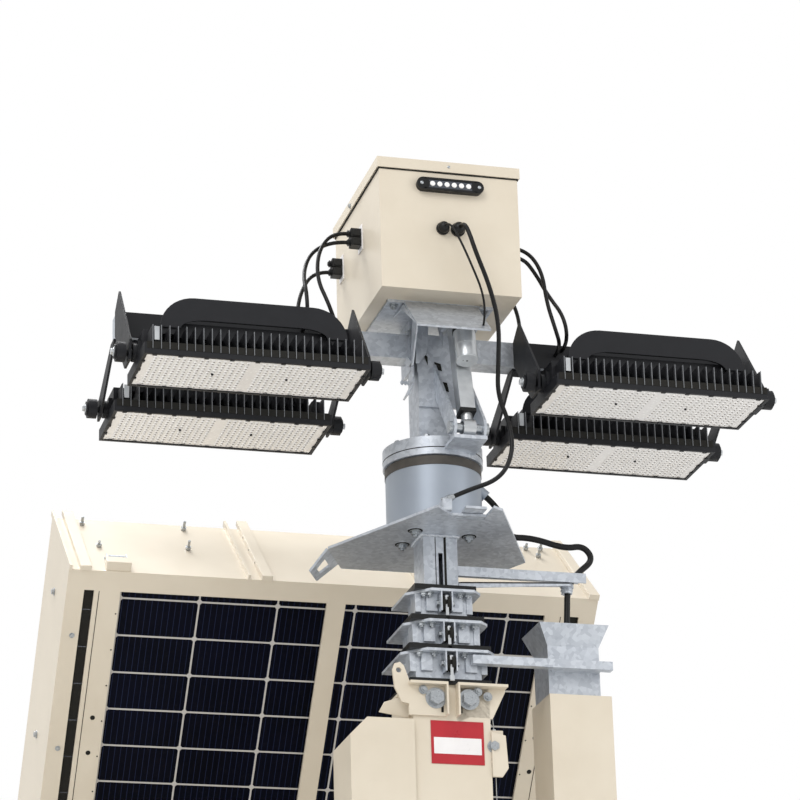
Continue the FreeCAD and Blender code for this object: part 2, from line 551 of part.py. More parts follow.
# Legs, jockey wheel and lamps
for name, sx, y in (("leg_front_left", -1, "frameFront + 60"), ("leg_front_right", 1, "frameFront + 60"),
                    ("leg_rear_left", -1, "halfLong - 110"), ("leg_rear_right", 1, "halfLong - 110")):
    node(name, join([box(("%d*legX - 32" % sx, y + " - 32", 8), (64, 64, 740)),
                     box(("%d*legX - 80" % sx, y + " - 80", 0), (160, 160, 8))]))
# Jockey wheel beside the drawbar
node("jockey_leg", join([rod((130, "jockeyY", 220), 24, 530), box((92, "jockeyY - 65", 208), (76, 95, 14)),
                         box((92, "jockeyY - 50", 85), (6, 70, 125)), box((162, "jockeyY - 50", 85), (6, 70, 125)),
                         rod((90, "jockeyY - 30", 100), 8, 80, "x")]))
node("jockey_wheel", turned(((8.1, -27), (92, -27), (100, -18), (100, 18), (92, 27), (8.1, 27)), (130, "jockeyY - 30", 100)))

# Plugs, glands and cords: a cord is straight runs joined by arcs, from points measured off the mast axis
plugs = []
for y in (-30, 145):
    for z in (3040, 3018):
        plugs.append(box(("mastX - boxWide/2 - 26", "mastY + %d - 12" % y, z - 10), (26, 24, 20)))
        plugs.append(box(("mastX + boxWide/2", "mastY + %d - 12" % y, z - 10), (26, 24, 20)))
for x in (-18, 17):
    plugs.append(rod(("mastX + %d" % x, "mastY - boxDeep/2 - 14", 2993), 13, 14, "y"))
plugs.append(box(("mastX - 62", "mastY - boxDeep/2 - 12", "boxBase + 238"), (124, 12, 30)))
for x in (-62, 62):
    plugs.append(rod(("mastX + %d" % x, "mastY - boxDeep/2 - 12", "boxBase + 253"), 15, 12, "y"))
node("box_fittings", join(plugs))

cords = (
    ("cable_left_front", 9, ((-187.5, -30, 3040), (-228, -30, 3040), (-266, -46, 2985), (-276, -68, 2905), (-256, -94, 2835),
                             (-233, -78, 2781), (-233, -30, 2781))),
    ("cable_left_rear", 9, ((-187.5, 145, 3018), (-228, 145, 3018), (-264, 136, 2962), (-280, 118, 2880), (-262, 92, 2812),
                            (-236, 70, 2778), (-236, 25, 2778))),
    ("cable_right_front", 9, ((187.5, -30, 3040), (228, -30, 3040), (262, -46, 2984), (262, -72, 2890), (272, -92, 2822),
                              (290, -76, 2780), (290, -30, 2780))),
    ("cable_right_rear", 9, ((187.5, 145, 3018), (226, 145, 3018), (254, 128, 2958), (254, 102, 2872), (248, 86, 2820),
                             (244, 66, 2782), (244, 25, 2782))),
    ("cable_left_second", 9, ((-187.5, -30, 3018), (-226, -30, 3018), (-278, -26, 2990), (-304, -50, 2925), (-306, -96, 2850),
                              (-302, -78, 2792), (-302, -30, 2792))),
    ("cable_right_second", 9, ((187.5, -30, 3018), (222, -30, 3018), (254, -22, 2984), (278, -34, 2926), (296, -92, 2850),
                               (306, -78, 2792), (306, -30, 2792))),
    ("cable_thin", 5, ((-18, -214, 2993), (-18, -236, 2993), (-8, -252, 2976), (10, -260, 2930), (30, -262, 2878),
                       (54, -252, 2826), (64, -234.7, 2780), (64, -214, 2758.3))),
    ("cable_front", 10, ((17, -214, 2993), (17, -244, 2993), (22, -266, 2966), (36, -270, 2912), (66, -266, 2836),
                         (88, -256, 2752), (90, -232, 2668), (92, -210, 2600), (118, -208, 2536), (122, -214, 2466),
                         (92, -210, 2404), (20, -185, 2381), (-20, -182, 2360.8))),
    ("cable_main", 14, ((118, -12, 2432.7), (152, -12, 2404.2), (160, -12, 2340), (222, -15, 2342), (296, -18, 2320),
                        (340, -18, 2330), (364, -15, 2298), (322, -13, 2264), (300, -10, 2230), (297, -10, 2172),
                        (293, -10, 2117))),
)
for name, wide, points in cords:
    base = V(size("mastX"), size("mastY"), 0)
    pts = [base + V(*p) for p in points]
    edges = []
    start = pts[0]
    radii = []
    for before, here, after in zip(pts, pts[1:], pts[2:]):
        a = (before - here).normalize()
        b = (after - here).normalize()
        half = (math.pi - a.getAngle(b)) / 2
        reach = 0.45 * min((before - here).Length, (after - here).Length)
        radii.append(reach / math.tan(half))
        p1 = here + a * reach
        p3 = here + b * reach
        middle = (a + b).normalize()
        centre = here + middle * (reach / math.tan(half) / math.cos(half))
        p2 = centre - middle * (reach / math.tan(half))
        edges.append(Part.makeLine(start, p1))
        edges.append(Part.Arc(p1, p2, p3).toShape())
        start = p3
    edges.append(Part.makeLine(start, pts[-1]))
    wire = Part.Wire(edges)
    circle = Part.Wire([Part.makeCircle(wide / 2, pts[0], pts[1] - pts[0])])
    cord = doc.addObject("Part::Feature", "Cord")
    cord.Shape = wire.makePipeShell([circle], True, False)
    ideal = math.pi * wide * wide / 4 * wire.Length
    print(name, "length %.0f" % wire.Length, "radii", [round(r) for r in radii], "volume ratio %.4f" % (cord.Shape.Volume / ideal))
    node(name, cord)

doc.recompute()
os.makedirs("parts", exist_ok=True)
faults = []
for obj in doc.Objects:
    if any(word in ("Invalid", "Error") for word in obj.State):
        faults.append(obj.Name)
for obj in nodes:
    if obj.Shape.isNull() or not obj.Shape.isValid():
        faults.append(obj.Label)
if faults:
    raise RuntimeError("faulty: " + ", ".join(faults))
for obj in nodes:
    obj.Shape.exportStep("parts/%s.step" % obj.Label)
print(len(nodes), "nodes")
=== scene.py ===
import bpy
import bmesh
import json
import math
from mathutils import Matrix, Vector


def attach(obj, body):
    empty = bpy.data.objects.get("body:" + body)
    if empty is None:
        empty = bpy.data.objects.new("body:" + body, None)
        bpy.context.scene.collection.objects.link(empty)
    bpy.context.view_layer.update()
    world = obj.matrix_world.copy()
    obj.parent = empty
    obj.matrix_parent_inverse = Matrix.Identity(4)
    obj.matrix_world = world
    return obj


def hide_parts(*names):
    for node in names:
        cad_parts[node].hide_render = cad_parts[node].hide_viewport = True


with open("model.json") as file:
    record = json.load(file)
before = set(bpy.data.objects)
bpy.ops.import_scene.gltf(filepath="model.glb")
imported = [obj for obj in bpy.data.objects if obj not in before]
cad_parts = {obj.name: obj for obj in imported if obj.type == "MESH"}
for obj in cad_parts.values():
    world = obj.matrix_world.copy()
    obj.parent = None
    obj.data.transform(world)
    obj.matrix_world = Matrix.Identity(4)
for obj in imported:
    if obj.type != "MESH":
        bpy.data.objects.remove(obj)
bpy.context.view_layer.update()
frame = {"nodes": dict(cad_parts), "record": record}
cadNodes = frame["nodes"]
mast = Vector((0.140, 0.300, 0.0))
slope = math.radians(50.3)
upperEdge = Vector((0.0, mast.y + 0.314, 2.316))


def at(x, y, z):
    # Millimetres from the foot of the mast's axis on the floor
    return mast + Vector((x, y, z)) / 1000


def tone(code, alpha=1.0):
    parts = [int(code[i:i + 2], 16) / 255 for i in (0, 2, 4)]
    return tuple(p / 12.92 if p <= 0.04045 else ((p + 0.055) / 1.055) ** 2.4 for p in parts) + (alpha,)


def add(mat, kind, links=None, **values):
    node = mat.node_tree.nodes.new(kind)
    for key, value in values.items():
        name = key.replace("_", " ")
        if name in node.inputs:
            node.inputs[name].default_value = value
        else:
            setattr(node, key, value)
    for target, source in (links or {}).items():
        mat.node_tree.links.new(source, node.inputs[target])
    return node


def surface(name, colour, second, rough, grain, metal=0.0, spread=0.5, bump=0.1, bumpScale=400.0,
            roughSpread=0.08, grime=0.0, voronoi=False, **extra):
    # grain and bumpScale are waves a metre, so 110 gives patches of 9 mm and 700 a skin of 1.4 mm
    mat = bpy.data.materials.new(name)
    mat.use_nodes = True
    tree = mat.node_tree
    shader = tree.nodes["Principled BSDF"]
    shader.inputs["Metallic"].default_value = metal
    for key, value in extra.items():
        shader.inputs[key.replace("_", " ")].default_value = value
    where = add(mat, "ShaderNodeTexCoord").outputs["Object"]
    if voronoi:
        pattern = add(mat, "ShaderNodeTexVoronoi", {"Vector": where}, Scale=grain).outputs["Color"]
        pattern = add(mat, "ShaderNodeSeparateColor", {"Color": pattern}).outputs[0]
        cloudy = add(mat, "ShaderNodeTexNoise", {"Vector": where}, Scale=11.0, Detail=5.0).outputs["Fac"]
        pattern = add(mat, "ShaderNodeMath", {0: pattern, 1: cloudy}, operation="ADD").outputs[0]
        pattern = add(mat, "ShaderNodeMapRange", {"Value": pattern}, From_Min=0.1, From_Max=1.5).outputs[0]
    else:
        pattern = add(mat, "ShaderNodeTexNoise", {"Vector": where}, Scale=grain, Detail=4.0).outputs["Fac"]
    ramp = add(mat, "ShaderNodeValToRGB", {"Fac": pattern})
    ramp.color_ramp.elements[0].position = 0.5 - spread / 2
    ramp.color_ramp.elements[1].position = 0.5 + spread / 2
    ramp.color_ramp.elements[0].color = tone(second)
    ramp.color_ramp.elements[1].color = tone(colour)
    shade = ramp.outputs["Color"]
    if grime:
        cloud = add(mat, "ShaderNodeTexNoise", {"Vector": where}, Scale=3.1, Detail=6.0, Roughness=0.65)
        mask = add(mat, "ShaderNodeMapRange", {"Value": cloud.outputs["Fac"]}, From_Min=0.48, From_Max=0.75,
                   To_Max=grime).outputs[0]
        blend = add(mat, "ShaderNodeMix", data_type="RGBA", blend_type="MULTIPLY")
        tree.links.new(mask, blend.inputs["Factor"])
        tree.links.new(shade, blend.inputs[6])
        blend.inputs[7].default_value = tone("8F8268")
        shade = blend.outputs[2]
    tree.links.new(shade, shader.inputs["Base Color"])
    sheen = add(mat, "ShaderNodeMapRange", {"Value": pattern}, To_Min=rough - roughSpread,
                To_Max=rough + roughSpread)
    tree.links.new(sheen.outputs[0], shader.inputs["Roughness"])
    if bump:
        fine = add(mat, "ShaderNodeTexNoise", {"Vector": where}, Scale=bumpScale, Detail=3.0).outputs["Fac"]
        skin = add(mat, "ShaderNodeBump", {"Height": fine}, Strength=bump, Distance=0.0006)
        tree.links.new(skin.outputs["Normal"], shader.inputs["Normal"])
    return mat


# Baked enamel on sheet steel: an even cream with a soft sheen and a trace of dust
cream = surface("creamPaint", "DBD1BF", "D5CAB7", rough=0.36, grain=9, bump=0.2, bumpScale=700, grime=0.06)
# Hot-dip galvanised steel: pale blue grey in faint crystals, duller in some than in others
galvanised = surface("galvanised", "CBD0D7", "A9AFB8", rough=0.42, grain=110, metal=0.6, spread=0.9,
                     bump=0.15, bumpScale=60, voronoi=True, roughSpread=0.06)
# Turned and coated steel of the drum: smooth, with broad soft reflections
rolledSteel = surface("rolledSteel", "AAB2BC", "9AA2AD", rough=0.46, grain=7, metal=0.55, bumpScale=300)
# Powder coat on cast aluminium: near black, fine and matt
blackCoat = surface("blackCoat", "191A1E", "15161A", rough=0.5, grain=40, bump=0.3, bumpScale=1500,
                    Specular_IOR_Level=0.3)
# Moulded polyamide of glands, plugs and wear pads
blackPlastic = surface("blackPlastic", "101112", "0C0D0D", rough=0.42, grain=60, bump=0.2, bumpScale=900,
                       Specular_IOR_Level=0.35)
# Drawn aluminium: brighter and smoother than the galvanised steel
aluminium = surface("aluminium", "D2D5D7", "BDC0C3", rough=0.33, grain=50, metal=0.8, bump=0.15,
                    bumpScale=300)
# Zinc-plated bolts: bright, with small hard reflections
boltSteel = surface("boltSteel", "BFC3C6", "9DA2A6", rough=0.30, grain=300, metal=0.9, bumpScale=600)
# Rubber sheath of the cables, black with a dull shine
cableRubber = surface("cableRubber", "0A0A0B", "070708", rough=0.4, grain=80, bump=0.15, bumpScale=900,
                      Specular_IOR_Level=0.3)
# Tyre rubber: dark grey, rough and dusty
tyreRubber = surface("tyreRubber", "1E1E1F", "18181A", rough=0.85, grain=30, bump=0.4, bumpScale=500,
                     grime=0.3)
# Clear red acrylic over the tail lamps
redLens = surface("redLens", "A4201B", "8E1A16", rough=0.15, grain=200, bump=0.3, bumpScale=250,
                  Coat_Weight=0.6)
# Printed film on the sign plate
signRed = surface("signRed", "B3202B", "A81C27", rough=0.30, grain=30, bumpScale=500)
signWhite = surface("signWhite", "EDEBEA", "E6E3E2", rough=0.30, grain=30, bumpScale=500)
# Battery cases
darkMass = surface("darkMass", "3C3F43", "33363A", rough=0.7, grain=20, bump=0.2)
# Moulded polycarbonate of the floodlights, its domes clearer and the chips behind them grey
lensPlate = surface("lensPlate", "EBE9E7", "E0DDDB", rough=0.25, grain=160, bump=0.2, bumpScale=240,
                    Coat_Weight=0.5)
ledLens = surface("ledLens", "FBFAF9", "F0EEEC", rough=0.12, grain=400, bumpScale=900, Coat_Weight=0.8)
ledChip = surface("ledChip", "8E8781", "78716B", rough=0.4, grain=300)
# Smoked window of the lamp bar, polished
darkGlass = surface("darkGlass", "3A404B", "2B303A", rough=0.08, grain=120, Coat_Weight=1.0)
# Greased felt in the slewing joint
sealBrown = surface("sealBrown", "4A453F", "3A3632", rough=0.55, grain=60, bump=0.2)
# Lighter grey strips along the front edges of the fins
finGrey = surface("finGrey", "85878A", "6E7074", rough=0.4, grain=120, metal=0.3)
# Slots and joints too deep for light to reach
shadowGap = surface("shadowGap", "17150F", "100F0B", rough=0.9, grain=50)
# Dark blue silicon under matt glass
cellGlass = surface("cellGlass", "080B1A", "06080F", rough=0.35, grain=6, bump=0.0, Specular_IOR_Level=0.05)

# Metres: 182 mm cells cut in half, with the gaps, cut corners and fingers between them
cells = {"pitchDown": 0.0911, "pitchAcross": 0.183, "firstDown": 0.0665, "firstAcross": -0.4998,
         "gap": 0.0021, "corner": 0.0085, "finger": 0.0137, "fingerHalf": 0.0007}


def step(mat, operation, first, second):
    # One step of arithmetic on a socket with a socket or a number
    node = add(mat, "ShaderNodeMath", {0: first}, operation=operation)
    if isinstance(second, (int, float)):
        node.inputs[1].default_value = second
    else:
        mat.node_tree.links.new(second, node.inputs[1])
    return node.outputs[0]


def cellPattern(mat):
    # Both ways across the slope, the distance to the nearest gap decides gap, cut corner or glass
    tree = mat.node_tree
    shader = tree.nodes["Principled BSDF"]
    base = shader.inputs["Base Color"].links[0].from_socket
    where = add(mat, "ShaderNodeTexCoord").outputs["Object"]
    down = add(mat, "ShaderNodeVectorMath", {0: where}, operation="DOT_PRODUCT")
    down.inputs[1].default_value = (0.0, math.cos(slope), -math.sin(slope))
    across = add(mat, "ShaderNodeSeparateXYZ", {"Vector": where}).outputs[0]
    top = upperEdge.y * math.cos(slope) - upperEdge.z * math.sin(slope)
    below = step(mat, "SUBTRACT", down.outputs["Value"], top + cells["firstDown"])
    beside = step(mat, "SUBTRACT", across, cells["firstAcross"])
    gapDown = step(mat, "PINGPONG", below, cells["pitchDown"] / 2)
    gapAcross = step(mat, "PINGPONG", beside, cells["pitchAcross"] / 2)
    nearest = step(mat, "LESS_THAN", step(mat, "MINIMUM", gapDown, gapAcross), cells["gap"])
    corner = step(mat, "LESS_THAN", step(mat, "ADD", gapDown, gapAcross), cells["corner"])
    line = step(mat, "LESS_THAN", step(mat, "PINGPONG", across, cells["finger"] / 2), cells["fingerHalf"])
    shade = base
    for mask, colour in ((line, "20263F"), (step(mat, "MAXIMUM", nearest, corner), "BFBCB8")):
        blend = add(mat, "ShaderNodeMix", data_type="RGBA")
        tree.links.new(mask, blend.inputs["Factor"])
        tree.links.new(shade, blend.inputs[6])
        blend.inputs[7].default_value = tone(colour)
        shade = blend.outputs[2]
    tree.links.new(shade, shader.inputs["Base Color"])


cellPattern(cellGlass)
bySlot = {"cream_paint": cream, "galvanised": galvanised, "black_coat": blackCoat, "lens": lensPlate,
          "black_plastic": blackPlastic, "cells": cellGlass, "aluminium": aluminium, "cable": cableRubber,
          "tyre": tyreRubber, "red_lamp": redLens, "dark_mass": darkMass}
for part in frame["record"]["subparts"]:
    piece = cadNodes[part["node"]]
    piece.data.materials.clear()
    turned = part["node"] == "slew_drum"
    piece.data.materials.append(rolledSteel if turned else bySlot[part["material_slot"]])
print("materials set")

# Camera on the ground, ahead and left of the mast, with a long lens
view = {"at": (-1.776, -6.275, 0.03), "yaw": 15.67, "pitch": 21.03, "roll": -1.60, "lens": 146.5}
yaw, pitch, roll = (math.radians(view[k]) for k in ("yaw", "pitch", "roll"))
right = Vector((math.cos(yaw), -math.sin(yaw), 0))
ahead = Vector((math.sin(yaw) * math.cos(pitch), math.cos(yaw) * math.cos(pitch), math.sin(pitch)))
upward = right.cross(ahead)
sideways = right * math.cos(roll) + upward * math.sin(roll)
upward = sideways.cross(ahead)
turn = Matrix((sideways, upward, -ahead)).transposed().to_4x4()
optics = bpy.data.cameras.new("camera")
optics.lens = view["lens"]
optics.sensor_width = 36
optics.clip_end = 100
camera = bpy.data.objects.new("camera", optics)
camera.matrix_world = Matrix.Translation(view["at"]) @ turn
bpy.context.scene.collection.objects.link(camera)
bpy.context.scene.camera = camera


def keep(obj, body, replacing=()):
    bpy.context.scene.collection.objects.link(obj)
    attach(obj, body)
    if replacing:
        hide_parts(*replacing)
    return obj


# Cords: the routes of the solids, in mm off the mast axis
cords = {
    "cable_left_front": ("head", 9, (
        (-187.5, -30, 3040), (-228, -30, 3040), (-266, -46, 2985), (-276, -68, 2905), (-256, -94, 2835),
        (-233, -78, 2781), (-233, -30, 2781))),
    "cable_left_rear": ("head", 9, (
        (-187.5, 145, 3018), (-228, 145, 3018), (-264, 136, 2962), (-280, 118, 2880), (-262, 92, 2812),
        (-236, 70, 2778), (-236, 25, 2778))),
    "cable_right_front": ("head", 9, (
        (187.5, -30, 3040), (228, -30, 3040), (262, -46, 2984), (262, -72, 2890), (272, -92, 2822),
        (290, -76, 2780), (290, -30, 2780))),
    "cable_right_rear": ("head", 9, (
        (187.5, 145, 3018), (226, 145, 3018), (254, 128, 2958), (254, 102, 2872), (248, 86, 2820),
        (244, 66, 2782), (244, 25, 2782))),
    "cable_left_second": ("head", 9, (
        (-187.5, -30, 3018), (-226, -30, 3018), (-278, -26, 2990), (-304, -50, 2925), (-306, -96, 2850),
        (-302, -78, 2792), (-302, -30, 2792))),
    "cable_right_second": ("head", 9, (
        (187.5, -30, 3018), (222, -30, 3018), (254, -22, 2984), (278, -34, 2926), (296, -92, 2850),
        (306, -78, 2792), (306, -30, 2792))),
    "cable_thin": ("head", 5, (
        (-18, -214, 2993), (-18, -236, 2993), (-8, -252, 2976), (10, -260, 2930), (30, -262, 2878),
        (54, -252, 2826), (64, -234.7, 2780), (64, -214, 2758.3))),
    "cable_front": ("head", 10, (
        (17, -214, 2993), (17, -244, 2993), (22, -266, 2966), (36, -270, 2912), (66, -266, 2836),
        (88, -256, 2752), (90, -232, 2668), (92, -210, 2600), (118, -208, 2536), (122, -214, 2466),
        (92, -210, 2404), (20, -185, 2381), (-20, -182, 2360.8))),
    "cable_main": ("mast_4", 14, (
        (118, -12, 2432.7), (152, -12, 2404.2), (160, -12, 2340), (222, -15, 2342), (296, -18, 2320),
        (340, -18, 2330), (364, -15, 2298), (322, -13, 2264), (300, -10, 2230), (297, -10, 2172),
        (293, -10, 2117))),
}
# A cord cuts its route's corners, so it is 0.93 as long as the route
for name, (body, wide, route) in cords.items():
    line = bpy.data.curves.new(name + "Line", "CURVE")
    line.dimensions = "3D"
    line.resolution_u = 10
    line.bevel_depth = wide / 2000
    line.bevel_resolution = 5
    line.use_fill_caps = True
    spline = line.splines.new("NURBS")
    spline.points.add(len(route) - 1)
    for point, spot in zip(spline.points, route):
        point.co = (*at(*spot), 1.0)
    spline.order_u = 3
    spline.use_endpoint_u = True
    line.materials.append(cableRubber)
    cord = keep(bpy.data.objects.new(name + "Cord", line), body, (name,))
print("cords laid")


def rodOn(bm, start, end, radius, sides=20, tip=None):
    start, end = Vector(start), Vector(end)
    run = end - start
    spot = Matrix.Translation((start + end) / 2) @ run.to_track_quat("Z", "Y").to_matrix().to_4x4()
    bmesh.ops.create_cone(bm, cap_ends=True, segments=sides, radius1=radius,
                          radius2=radius if tip is None else tip, depth=run.length, matrix=spot)


def slab(bm, low, high, spin=None):
    low, high = Vector(low), Vector(high)
    grow = Matrix.Diagonal((*(high - low), 1))
    place = Matrix.Translation((low + high) / 2)
    bmesh.ops.create_cube(bm, size=1.0, matrix=place @ (spin or Matrix()) @ grow)


def spotsAt(*points):
    return [at(*point) for point in points]


def flat(bm, corners, thick):
    # A flat sheet through its corners, thick on the side of its normal
    corners = [Vector(c) for c in corners]
    normal = (corners[1] - corners[0]).cross(corners[2] - corners[1]).normalized() * thick
    near = [bm.verts.new(c) for c in corners]
    far = [bm.verts.new(c + normal) for c in corners]
    bm.faces.new(near[::-1])
    bm.faces.new(far)
    for i in range(len(corners)):
        j = (i + 1) % len(corners)
        bm.faces.new((near[i], near[j], far[j], far[i]))


def bolt(bm, seat, axis, across, washer=0.0016, stud=0.0):
    seat, axis = Vector(seat), Vector(axis).normalized()
    rodOn(bm, seat, seat + axis * washer, across * 0.78, 22)
    rodOn(bm, seat + axis * washer, seat + axis * (washer + across * 0.42), across * 0.577, 6)
    if stud:
        rodOn(bm, seat, seat + axis * (washer + across * 0.42 + stud), across * 0.30, 14)


def ball(bm, middle, radius, squash=(1, 1, 1), rings=8):
    grow = Matrix.Diagonal((*(radius * part for part in squash), 1))
    bmesh.ops.create_uvsphere(bm, u_segments=16, v_segments=rings, radius=1.0,
                              matrix=Matrix.Translation(middle) @ grow)


def dress(bm, name, mat, body, bevel=0.0, replacing=()):
    bmesh.ops.recalc_face_normals(bm, faces=bm.faces)
    mesh = bpy.data.meshes.new(name)
    bm.to_mesh(mesh)
    bm.free()
    mesh.materials.append(mat)
    mesh.shade_smooth()
    mesh.set_sharp_from_angle(angle=math.radians(32))
    obj = bpy.data.objects.new(name, mesh)
    if bevel:
        edge = obj.modifiers.new("edge", "BEVEL")
        edge.width = bevel
        edge.segments = 2
        edge.limit_method = "ANGLE"
    return keep(obj, body, replacing)


def repeatGroup():
    tree = bpy.data.node_groups.new("repeatOnGrid", "GeometryNodeTree")
    face = tree.interface
    face.new_socket("Geometry", in_out="INPUT", socket_type="NodeSocketGeometry")
    face.new_socket("Unit", in_out="INPUT", socket_type="NodeSocketObject")
    for label in ("Count X", "Count Y"):
        face.new_socket(label, in_out="INPUT", socket_type="NodeSocketInt")
    for label in ("Long", "Wide", "Least"):
        face.new_socket(label, in_out="INPUT", socket_type="NodeSocketFloat")
    face.new_socket("Finish", in_out="INPUT", socket_type="NodeSocketMaterial")
    face.new_socket("Geometry", in_out="OUTPUT", socket_type="NodeSocketGeometry")
    nodes, link = tree.nodes, tree.links.new
    start, end = nodes.new("NodeGroupInput"), nodes.new("NodeGroupOutput")
    grid, info = nodes.new("GeometryNodeMeshGrid"), nodes.new("GeometryNodeObjectInfo")
    spread, chance = nodes.new("GeometryNodeInstanceOnPoints"), nodes.new("FunctionNodeRandomValue")
    real, paint = nodes.new("GeometryNodeRealizeInstances"), nodes.new("GeometryNodeSetMaterial")
    for label, socket in (("Long", "Size X"), ("Wide", "Size Y"), ("Count X", "Vertices X"),
                          ("Count Y", "Vertices Y")):
        link(start.outputs[label], grid.inputs[socket])
    link(start.outputs["Unit"], info.inputs["Object"])
    chance.inputs["Seed"].default_value = 7
    link(start.outputs["Least"], chance.inputs[2])
    chance.inputs[3].default_value = 1.0
    link(grid.outputs["Mesh"], spread.inputs["Points"])
    link(info.outputs["Geometry"], spread.inputs["Instance"])
    link(chance.outputs[1], spread.inputs["Scale"])
    link(spread.outputs["Instances"], real.inputs["Geometry"])
    link(real.outputs["Geometry"], paint.inputs["Geometry"])
    link(start.outputs["Finish"], paint.inputs["Material"])
    link(paint.outputs["Geometry"], end.inputs["Geometry"])
    return tree


gridTree = repeatGroup()


def repeat(name, unit, counts, spans, spots, mat, body, least=1.0):
    # unit is a bmesh; a grid of it is made once and put at each spot
    mesh = bpy.data.meshes.new(name + "Unit")
    unit.to_mesh(mesh)
    unit.free()
    single = bpy.data.objects.new(name + "Unit", mesh)
    host = bpy.data.objects.new(name + "Host", bpy.data.meshes.new(name + "Host"))
    for obj in (single, host):
        bpy.context.scene.collection.objects.link(obj)
    maker = host.modifiers.new("grid", "NODES")
    maker.node_group = gridTree
    values = {"Unit": single, "Count X": counts[0], "Count Y": counts[1], "Long": spans[0],
              "Wide": spans[1], "Least": least, "Finish": mat}
    for item in gridTree.interface.items_tree:
        if item.in_out == "INPUT" and item.name in values:
            maker[item.identifier] = values[item.name]
    host.update_tag()
    bpy.context.view_layer.update()
    made = bpy.data.meshes.new_from_object(host.evaluated_get(bpy.context.evaluated_depsgraph_get()))
    for obj in (single, host):
        bpy.data.objects.remove(obj)
    whole = bmesh.new()
    for spot in spots:
        part = made.copy()
        part.transform(spot)
        whole.from_mesh(part)
    return dress(whole, name, mat, body)


# Floodlights: domed lens plates, clips round the rims, bright fin edges, end tags
lightSpots = (("front_left", -459, -174), ("front_right", 459, -174), ("rear_left", -459, 174),
              ("rear_right", 459, 174))
lamp = {"columns": 17, "rows": 12, "pitch": 12.6, "rowPitch": 13.8, "half": 118, "underside": 2614,
        "dome": 0.0049, "domeFlat": 0.42, "clips": 9, "clipPitch": 56, "clipEdge": 92, "fins": 26,
        "finPitch": 0.0184, "finFace": 99.6, "finMiddle": 2651}
arch = {"half": 207, "bend": 76, "foot": 2690, "top": 2762, "inner": 2711, "leg": 45, "innerBend": 58}


def archCover(x, y):
    # The broad face of a floodlight's arch, as one outline in the plane of y
    turns = [math.radians(a) for a in range(0, 91, 9)]
    outer = [(arch["half"] - arch["bend"] + arch["bend"] * math.cos(a),
              arch["foot"] + (arch["top"] - arch["foot"]) * math.sin(a)) for a in turns]
    inside = arch["half"] - arch["leg"] - arch["innerBend"]
    inner = [(inside + arch["innerBend"] * math.cos(a),
              arch["foot"] + (arch["inner"] - arch["foot"]) * math.sin(a)) for a in reversed(turns)]
    outline = outer + [(-u, z) for u, z in reversed(outer)] + [(-u, z) for u, z in reversed(inner)] + inner
    return [at(x + u, y, z) for u, z in outline]


for name, x, y in lightSpots:
    body = "light_" + name
    under = lamp["underside"]
    spots = [Matrix.Translation(at(x + side * lamp["half"], y, under)) for side in (-1, 1)]
    counts = (lamp["columns"], lamp["rows"])
    across = ((counts[0] - 1) * lamp["pitch"] / 1000, (counts[1] - 1) * lamp["rowPitch"] / 1000)
    dome = bmesh.new()
    bmesh.ops.create_uvsphere(dome, u_segments=10, v_segments=6, radius=lamp["dome"])
    bmesh.ops.scale(dome, vec=(1, 1, lamp["domeFlat"]), verts=dome.verts)
    repeat("lensDomes_" + name, dome, counts, across, spots, ledLens, body, least=0.93)
    chip = bmesh.new()
    rodOn(chip, (0, 0, -0.0027), (0, 0, 0.0004), 0.0020, 8)
    low = [m @ Matrix.Translation((0.0004, 0.0016, 0)) for m in spots]
    repeat("lensChips_" + name, chip, counts, across, low, ledChip, body)
    bits = bmesh.new()
    for i in range(lamp["clips"]):
        middle = x + (i - (lamp["clips"] - 1) // 2) * lamp["clipPitch"]
        for side in (-1, 1):
            edge = y + side * lamp["clipEdge"]
            slab(bits, at(middle - 5, edge - 4, under - 3), at(middle + 5, edge + 4, under))
    for side in (-1, 1):
        edge = x + side * 242
        for along in (-50, 0, 50):
            slab(bits, at(edge - 4, y + along - 5, under - 3), at(edge + 4, y + along + 5, under))
        rodOn(bits, at(x + side * 82, y - 6, 2609), at(x + side * 82, y - 6, 2615), 0.0028, 12)
        rodOn(bits, at(x + side * 292, y, 2650), at(x + side * 296, y, 2650), 0.016, 24)
        slab(bits, at(x + side * 228 - 12, y - 40, 2638), at(x + side * 228 + 12, y + 40, 2690))
    dress(bits, "lensClips_" + name, blackCoat, body, bevel=0.0004)
    tips = bmesh.new()
    slab(tips, (-0.0007, -0.0012, -0.027), (0.0007, 0.0012, 0.027))
    face = Matrix.Translation(at(x, y - lamp["finFace"], lamp["finMiddle"]))
    finRow = ((lamp["fins"] - 1) * lamp["finPitch"], 0.001)
    repeat("finEdges_" + name, tips, (lamp["fins"], 1), finRow, [face], finGrey, body)
    # Painted shade: a thin dark plate across the rim where the fins meet it
    recess = bmesh.new()
    slab(recess, at(x - 243, y - 99.2, 2624), at(x + 243, y - 98.2, 2640))
    dress(recess, "finRoots_" + name, shadowGap, body)
    cover = bmesh.new()
    flat(cover, archCover(x, y - 60.6), 0.0022)
    dress(cover, "archCover_" + name, blackCoat, body, bevel=0.0006)
    tag = bmesh.new()
    slab(tag, at(x - 226, y - 97, 2645), at(x - 215, y - 94.5, 2676))
    for side in (-1, 1):
        rodOn(tag, at(x + side * 60, y - 48, 2728), at(x + side * 60, y - 56, 2728), 0.008, 6)
        bolt(tag, at(x + side * 296, y, 2650), (side, 0, 0), 0.013)
    dress(tag, "lightTag_" + name, aluminium, body, bevel=0.0004)
print("floodlights dressed")

